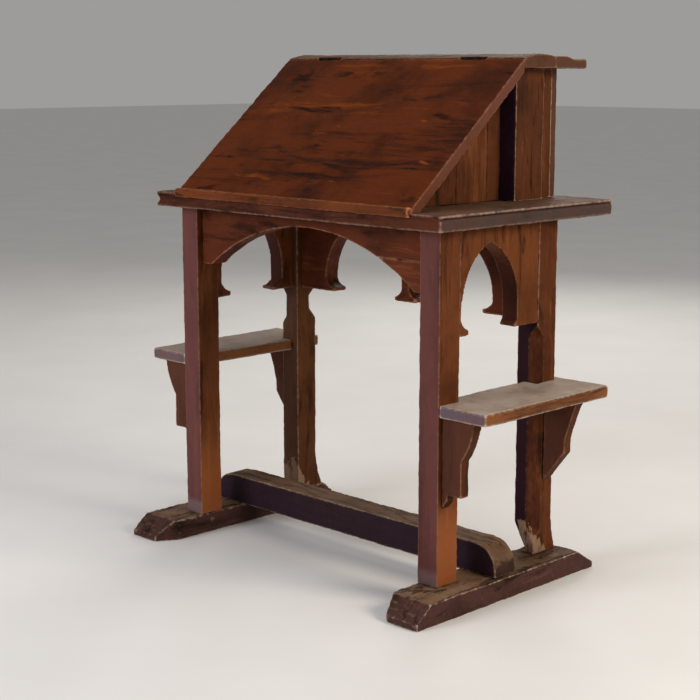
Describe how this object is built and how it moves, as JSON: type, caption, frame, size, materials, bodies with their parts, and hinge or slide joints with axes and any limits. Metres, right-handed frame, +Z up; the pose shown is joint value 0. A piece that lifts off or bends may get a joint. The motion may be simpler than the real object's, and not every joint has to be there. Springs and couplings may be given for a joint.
{
  "type": "lectern desk",
  "caption": "Standing wooden lectern desk on sled feet, gothic arch aprons under the table, bracketed side shelves and a box with a hinged sloping lid.",
  "frame": {"origin": "on the floor, in the middle of the overall width and depth", "axes": "+X to the user's right, +Y away from the user towards the back, +Z up"},
  "size_m": [0.95, 0.58, 1.0217],
  "materials": {
    "slope_wood": "dark red-brown, rubbed oil",
    "table_wood": "worn, dusty edges",
    "box_wood": "worn oil",
    "shelf_wood": "dry, dusty top",
    "frame_wood": "worn oil",
    "base_wood": "scuffed, dusty",
    "peg_wood": "end grain",
    "hinge_metal": "dark, dull",
    "fastener_metal": "dark, dull"
  },
  "bodies": {
    "stand": {"back_apron": "frame_wood", "back_left_bracket": "shelf_wood", "back_left_post": "frame_wood", "back_right_bracket": "shelf_wood", "back_right_post": "frame_wood", "box_back_board": "box_wood", "box_dowels_and_pegs": "peg_wood", "box_left_cleat": "box_wood", "box_left_front_plank": "box_wood", "box_left_middle_plank": "box_wood", "box_left_rear_plank": "box_wood", "box_left_rear_post": "box_wood", "box_left_stile": "box_wood", "box_nails": "fastener_metal", "box_right_cleat": "box_wood", "box_right_front_plank": "box_wood", "box_right_middle_plank": "box_wood", "box_right_rear_plank": "box_wood", "box_right_rear_post": "box_wood", "box_right_stile": "box_wood", "cap_board": "box_wood", "draw_pegs": "peg_wood", "foot_stretcher": "base_wood", "front_apron": "frame_wood", "front_left_bracket": "shelf_wood", "front_left_post": "frame_wood", "front_right_bracket": "shelf_wood", "front_right_post": "frame_wood", "front_right_spandrel": "frame_wood", "hinge_cap_screws": "fastener_metal", "hinge_pins": "hinge_metal", "left_hinge_cap_leaf": "hinge_metal", "left_shelf": "shelf_wood", "left_side_arch": "frame_wood", "left_sled_foot": "base_wood", "left_table_batten": "table_wood", "rear_ledge_board": "box_wood", "right_hinge_cap_leaf": "hinge_metal", "right_shelf": "shelf_wood", "right_side_arch": "frame_wood", "right_sled_foot": "base_wood", "right_table_batten": "table_wood", "shelf_pegs": "peg_wood", "table_screws": "fastener_metal", "table_top": "table_wood", "thick_dowels": "peg_wood", "thin_dowels": "peg_wood"},
    "lid": {"book_stop": "slope_wood", "book_stop_pins": "fastener_metal", "hinge_lid_screws": "fastener_metal", "left_hinge_lid_leaf": "hinge_metal", "lid_board": "slope_wood", "lid_left_batten": "slope_wood", "lid_right_batten": "slope_wood", "lid_screws": "fastener_metal", "right_hinge_lid_leaf": "hinge_metal"}
  },
  "joints": [
    {"name": "lid_hinge", "type": "hinge", "parent": "stand", "child": "lid", "pos_m": [0, 0.09775, 1.014], "axis": [-1, 0, 0], "range_deg": [0, 200]}
  ]
}
